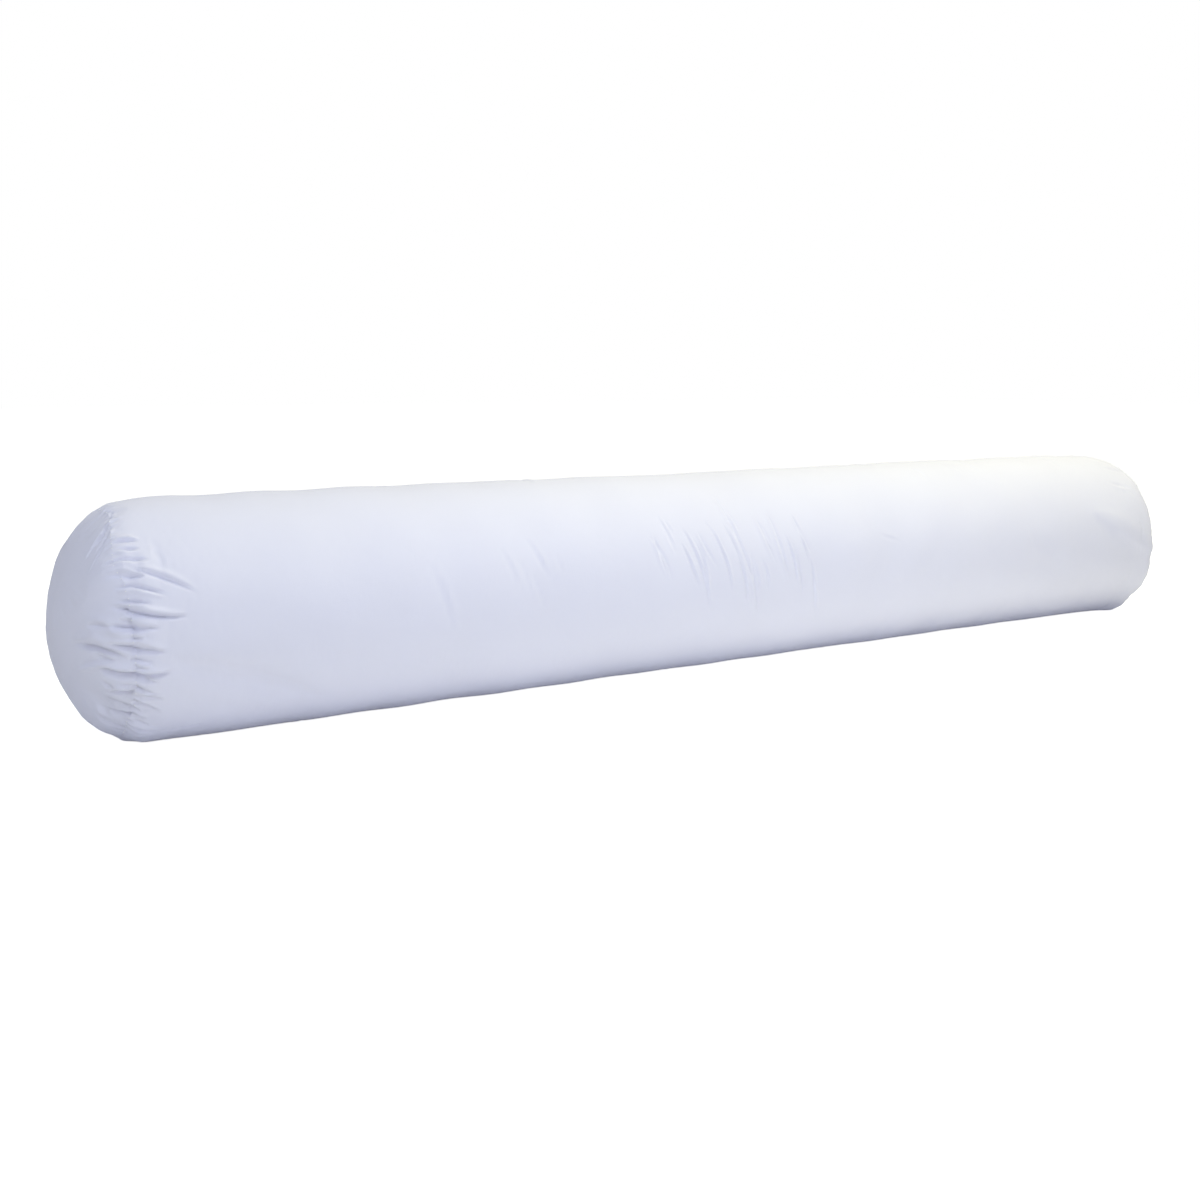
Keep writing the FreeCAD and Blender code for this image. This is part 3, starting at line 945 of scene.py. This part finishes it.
def new_material(name, colour, roughness, sheen):
    """A plain, hardly shiny material, its sheen the soft edge light of fibres."""
    material = bpy.data.materials.new(name)
    material.use_nodes = True
    shader = material.node_tree.nodes["Principled BSDF"]
    shader.inputs["Base Color"].default_value = colour
    shader.inputs["Roughness"].default_value = roughness
    shader.inputs["Specular IOR Level"].default_value = 0.25
    shader.inputs["Sheen Weight"].default_value = sheen
    shader.inputs["Sheen Roughness"].default_value = 0.5
    return material


def add_node(owner, kind, links=(), **settings):
    """A shader node of a material or a world, with its sockets set or linked."""
    node = owner.node_tree.nodes.new(kind)
    for key, value in settings.items():
        if key in node.inputs:
            node.inputs[key].default_value = value
        else:
            setattr(node, key, value)
    for target, source in links:
        owner.node_tree.links.new(source, node.inputs[target])
    return node


def raise_surface(material, *textures):
    """Roughens a material with textures, each given with its strength and its height in metres."""
    below = []
    for texture, strength, height in textures:
        bump = add_node(material, "ShaderNodeBump", [("Height", texture), *below],
                        Strength=strength, Distance=height)
        below = [("Normal", bump.outputs[0])]
    shader = material.node_tree.nodes["Principled BSDF"]
    material.node_tree.links.new(bump.outputs[0], shader.inputs["Normal"])


def shade_colour(material, texture, colour, darkest, start=0.0, end=1.0):
    """Varies a material's colour with a texture, from a darker shade of it to the full colour."""
    tint = add_node(material, "ShaderNodeValToRGB", [("Fac", texture)])
    full = np.array(colour)[:3]
    for stop, place, shade in zip(tint.color_ramp.elements, (start, end), (darkest, 1.0)):
        stop.position = place
        stop.color = (*(full * shade), 1)
    shader = material.node_tree.nodes["Principled BSDF"]
    material.node_tree.links.new(tint.outputs["Color"], shader.inputs["Base Color"])


def cloth_material(cloth):
    """Plain weave cotton: threads along and round the tube, slubs, and a faint unevenness of white."""
    material = new_material("cover_cloth", cloth.colour, 0.82, 0.12)
    pattern = add_node(material, "ShaderNodeUVMap", uv_map="pattern").outputs["UV"]
    spread = add_node(material, "ShaderNodeTexCoord").outputs["Object"]
    threads, slubs = [], []
    for place, direction in enumerate("XY"):
        wave = add_node(material, "ShaderNodeTexWave", [("Vector", pattern)], wave_type="BANDS",
                        bands_direction=direction, Scale=640.0, Distortion=0.6, Detail=1.0)
        threads.append((place, wave.outputs["Fac"]))
    for place, stretch in enumerate(((60.0, 900.0, 1.0), (900.0, 60.0, 1.0))):
        mapped = add_node(material, "ShaderNodeMapping", [("Vector", pattern)], Scale=stretch)
        noise = add_node(material, "ShaderNodeTexNoise", [("Vector", mapped.outputs[0])],
                         Scale=1.0, Detail=2.0)
        slubs.append((place, noise.outputs["Fac"]))
    weave = add_node(material, "ShaderNodeMath", threads, operation="ADD")
    slub = add_node(material, "ShaderNodeMath", slubs, operation="ADD")
    soft = add_node(material, "ShaderNodeTexNoise", [("Vector", spread)], Scale=38.0, Detail=3.0)
    cloud = add_node(material, "ShaderNodeTexNoise", [("Vector", spread)], Scale=7.0, Detail=2.0)
    raise_surface(material, (weave.outputs[0], 0.2, 0.08 * MM), (slub.outputs[0], 0.35, 0.2 * MM),
                  (soft.outputs["Fac"], 0.3, 1.6 * MM))
    shade_colour(material, cloud.outputs["Fac"], cloth.colour, 0.975, start=0.3, end=0.7)
    return material


def thread_material(cloth):
    """Twisted polyester sewing thread, with painted shade in the grooves between its plies."""
    material = bpy.data.materials.get("sewing_thread")
    if material:
        return material
    material = new_material("sewing_thread", cloth.thread_colour, 0.55, 0.1)
    place = add_node(material, "ShaderNodeTexCoord").outputs["Object"]
    twist_and_groove_shade = add_node(material, "ShaderNodeTexWave", [("Vector", place)], wave_type="BANDS",
                     bands_direction="DIAGONAL", Scale=900.0, Distortion=1.0).outputs["Fac"]
    raise_surface(material, (twist_and_groove_shade, 0.6, 0.2 * MM))
    # Painted shade: the thread's colour is darker where the twisted surface lies low, in its grooves.
    shade_colour(material, twist_and_groove_shade, cloth.thread_colour, 0.85)
    return material


def fibre_material(cloth):
    """Carded polyester fibre, matted and curled, with painted shade in its low places."""
    material = new_material("fibre_stuffing", cloth.fibre_colour, 0.95, 0.3)
    place = add_node(material, "ShaderNodeTexCoord").outputs["Object"]
    curls_and_hollow_shade = add_node(material, "ShaderNodeTexNoise", [("Vector", place)],
                     Scale=60.0, Detail=8.0, Distortion=2.5).outputs["Fac"]
    raise_surface(material, (curls_and_hollow_shade, 0.9, 4 * MM))
    # Painted shade: the fibre's colour is darker where its curled surface lies low.
    shade_colour(material, curls_and_hollow_shade, cloth.fibre_colour, 0.8)
    return material


def floor_material():
    """Pale matt floor that looks white in view and still takes a soft shadow."""
    material = new_material("studio_floor", (0.92, 0.92, 0.92, 1), 1.0, 0.0)
    shader = material.node_tree.nodes["Principled BSDF"]
    shader.inputs["Specular IOR Level"].default_value = 0
    rays = add_node(material, "ShaderNodeLightPath").outputs
    seen = add_node(material, "ShaderNodeMath",
                    [(0, rays["Is Camera Ray"]), (1, rays["Is Glossy Ray"])], operation="MAXIMUM")
    glow = add_node(material, "ShaderNodeEmission", [("Strength", seen.outputs[0])],
                    Color=(0.85, 0.85, 0.84, 1))
    both = add_node(material, "ShaderNodeAddShader",
                    [(0, shader.outputs[0]), (1, glow.outputs[0])])
    surface = material.node_tree.nodes["Material Output"].inputs["Surface"]
    material.node_tree.links.new(both.outputs[0], surface)
    return material


def studio_world(ambient):
    """Even, dim light from all round that the camera sees as white."""
    world = bpy.data.worlds.new("studio")
    world.use_nodes = True
    rays = add_node(world, "ShaderNodeLightPath").outputs
    mirror = add_node(world, "ShaderNodeMath",
                      [(0, rays["Is Camera Ray"]), (1, rays["Is Glossy Ray"])], operation="MAXIMUM")
    shown = add_node(world, "ShaderNodeMath",
                     [(0, mirror.outputs[0]), (1, rays["Is Transmission Ray"])],
                     operation="MAXIMUM")
    light = add_node(world, "ShaderNodeMix", data_type="RGBA")
    world.node_tree.links.new(shown.outputs[0], light.inputs["Factor"])
    dim, white = (plug for plug in light.inputs if plug.name in "AB" and plug.type == "RGBA")
    dim.default_value = (*(ambient * share for share in (0.96, 0.97, 1.06)), 1)
    white.default_value = (1, 1, 1, 1)
    result = next(plug for plug in light.outputs if plug.type == "RGBA")
    background = world.node_tree.nodes["Background"]
    world.node_tree.links.new(result, background.inputs["Color"])
    background.inputs["Strength"].default_value = 1.0
    return world


def hang(lamp, brightness):
    """Hangs a lamp at its place, turned to its target."""
    light = bpy.data.lights.new(lamp.name, "AREA")
    light.shape, light.size, light.color = "DISK", lamp.size, lamp.tint
    light.energy = lamp.power * brightness
    obj = bpy.data.objects.new(lamp.name, light)
    bpy.context.scene.collection.objects.link(obj)
    obj.location = lamp.place
    ahead = Vector(lamp.target) - Vector(lamp.place)
    obj.rotation_euler = ahead.to_track_quat("-Z", "Y").to_euler()


def studio_camera(lens):
    """The camera, to the left of the bolster and a little above it."""
    camera = bpy.data.cameras.new("camera")
    camera.lens, camera.sensor_width = lens, 36
    view = bpy.data.objects.new("camera", camera)
    bpy.context.scene.collection.objects.link(view)
    view.location = CAMERA_PLACE
    yaw, pitch = math.radians(CAMERA_YAW), math.radians(CAMERA_PITCH)
    level = math.cos(pitch)
    ahead = Vector((math.sin(yaw) * level, math.cos(yaw) * level, -math.sin(pitch)))
    view.rotation_euler = ahead.to_track_quat("-Z", "Y").to_euler()
    return view


class SetStudio(bpy.types.Operator):
    """Lays the pale floor and sets the soft light and the camera"""
    bl_idname = "bolster.set_studio"
    bl_label = "Studio"

    def execute(self, context):
        studio = context.scene.bolster_studio
        deselect_all()
        bpy.ops.mesh.primitive_plane_add(size=FLOOR_SIZE)
        floor = context.object
        floor.name = "floor"
        floor.data.materials.append(floor_material())
        context.scene.world = studio_world(studio.ambient)
        for lamp in LAMPS:
            hang(lamp, studio.lamps)
        context.scene.camera = studio_camera(studio.lens)
        context.scene.view_settings.view_transform = "Standard"
        return {"FINISHED"}


STEPS = (SewCover, StuffBolster, StitchSeams, CloseOpening, DressThreads, SetStudio)


class BolsterPanel(bpy.types.Panel):
    """Steps that make the bolster, in order"""
    bl_idname = "VIEW3D_PT_bolster"
    bl_label = "Bolster"
    bl_space_type = "VIEW_3D"
    bl_region_type = "UI"
    bl_category = "Bolster"

    def draw(self, context):
        for step in STEPS:
            self.layout.operator(step.bl_idname)
        for group in (context.scene.bolster_cloth, context.scene.bolster_studio):
            for name in group.__annotations__:
                self.layout.prop(group, name)


CLASSES = (BolsterCloth, BolsterStudio, *STEPS, BolsterPanel)


def register():
    """Adds the tools, and their settings on the scene."""
    for cls in CLASSES:
        bpy.utils.register_class(cls)
    bpy.types.Scene.bolster_cloth = bpy.props.PointerProperty(type=BolsterCloth)
    bpy.types.Scene.bolster_studio = bpy.props.PointerProperty(type=BolsterStudio)


def unregister():
    """Takes the tools and their settings away again."""
    del bpy.types.Scene.bolster_studio
    del bpy.types.Scene.bolster_cloth
    for cls in reversed(CLASSES):
        bpy.utils.unregister_class(cls)


def main():
    """Makes the bolster step by step."""
    register()
    bpy.ops.bolster.sew_cover()
    bpy.ops.bolster.stuff()
    bpy.ops.bolster.stitch_seams()
    bpy.ops.bolster.close_opening()
    bpy.ops.bolster.dress_threads()
    bpy.ops.bolster.set_studio()


if __name__ == "__main__":
    main()
